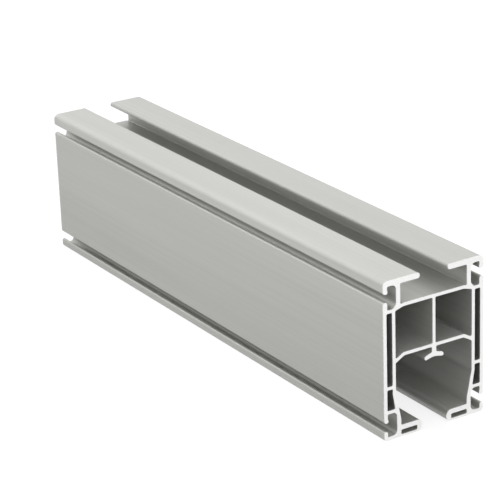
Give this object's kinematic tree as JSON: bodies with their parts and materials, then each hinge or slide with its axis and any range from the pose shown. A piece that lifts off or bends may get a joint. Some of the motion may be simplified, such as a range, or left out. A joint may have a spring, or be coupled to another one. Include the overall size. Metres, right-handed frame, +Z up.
{
  "type": "aluminium track extrusion",
  "caption": "Hollow aluminium track profile with a T-slot on top, double side walls, side trim grooves and a slotted runner channel below, cut square at both ends",
  "frame": {"origin": "middle of the underside, half way along the length", "axes": "+Y along the length, +X across the profile, +Z up from the runner slot to the T-slot"},
  "size_m": [0.09, 0.5, 0.125],
  "materials": {
    "aluminium": "satin mill finish with fine lines along the length and bright saw-cut ends"
  },
  "bodies": {
    "root": {"track_profile": "aluminium"}
  },
  "joints": []
}
